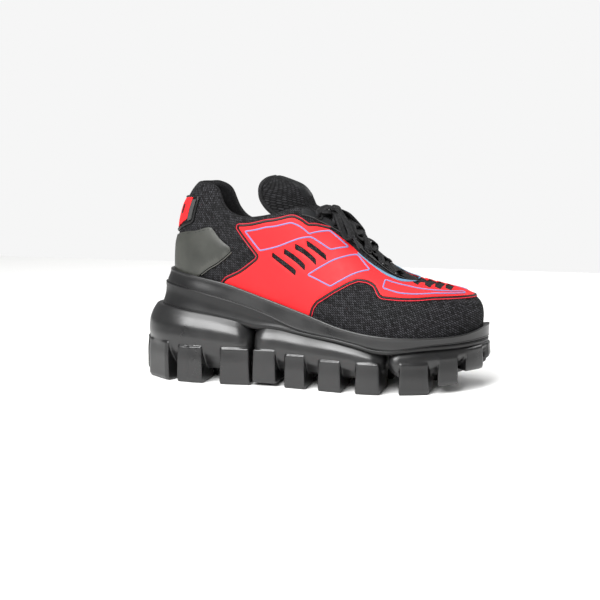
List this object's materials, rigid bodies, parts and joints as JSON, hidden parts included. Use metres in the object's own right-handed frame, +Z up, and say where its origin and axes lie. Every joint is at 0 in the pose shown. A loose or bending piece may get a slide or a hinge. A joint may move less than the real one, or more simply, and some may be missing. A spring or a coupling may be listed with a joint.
{
  "type": "platform sneaker",
  "caption": "Low-cut platform sneaker: knit upper with bonded overlays, hinged padded tongue, flat laces, and a wedge sole of three lugged pods.",
  "frame": {"origin": "On the floor plane, under the middle of the sole's length and width", "axes": "+X towards the toe, +Y towards the inner (medial) side, +Z up"},
  "size_m": [0.3, 0.1116, 0.175],
  "materials": {
    "sole_rubber": "satin moulded rubber, broad soft highlights",
    "midsole_foam": "satin skinned foam",
    "shank": "matt",
    "filler_cork": "pressed cork felt",
    "board": "pressed fibre board",
    "sockliner_textile": "brushed textile over foam",
    "knit": "coarse engineered knit, black with grey flecks",
    "foam": "open-cell foam",
    "lining": "smooth knitted lining",
    "stiffener": "matt thermoplastic sheet",
    "heel_rubber": "smooth soft-touch rubberised panel",
    "piping": "satin bead",
    "red_film": "soft-touch bonded film",
    "accent": "satin printed bead",
    "eyestay_film": "matt bonded film",
    "eyelet_plastic": "black, slightly glossy",
    "binding": "smooth woven binding tape",
    "label_rubber": "smooth matt rubber",
    "lace": "flat braided polyester",
    "aglet": "smoked clear tip",
    "tab_red": "satin moulded rubber"
  },
  "bodies": {
    "shoe": {"outsole_heel_pod": "sole_rubber", "outsole_mid_pod": "sole_rubber", "outsole_toe_pod": "sole_rubber", "midsole_wedge": "midsole_foam", "cupsole_rim": "sole_rubber", "shank_plate": "shank", "forefoot_filler": "filler_cork", "insole_board": "board", "sockliner": "sockliner_textile", "knit_quarter": "knit", "knit_vamp": "knit", "collar_foam": "foam", "collar_lining": "lining", "vamp_lining": "lining", "heel_stiffener": "stiffener", "toe_puff": "stiffener", "heel_panel": "heel_rubber", "heel_panel_trim": "piping", "colour_overlay": "red_film", "overlay_piping": "piping", "accent_lines": "accent", "eyestay": "eyestay_film", "eyelets": "eyelet_plastic", "tongue_base": "knit", "lace_keeper": "binding", "lace_rows": "lace", "lace_knot": "lace", "lace_loops": "lace", "lace_ends": "lace", "aglets": "aglet", "heel_tab": "tab_red", "heel_tab_frame": "heel_rubber"},
    "tongue": {"tongue_flap": "knit", "tongue_binding": "binding", "tongue_label": "label_rubber"}
  },
  "joints": [
    {"name": "tongue_hinge", "type": "hinge", "parent": "shoe", "child": "tongue", "pos_m": [0.002, 0.0028, 0.1467], "axis": [0, 1, 0], "range_deg": [-8, 14], "stiffness_Nm_per_rad": 0.1}
  ]
}
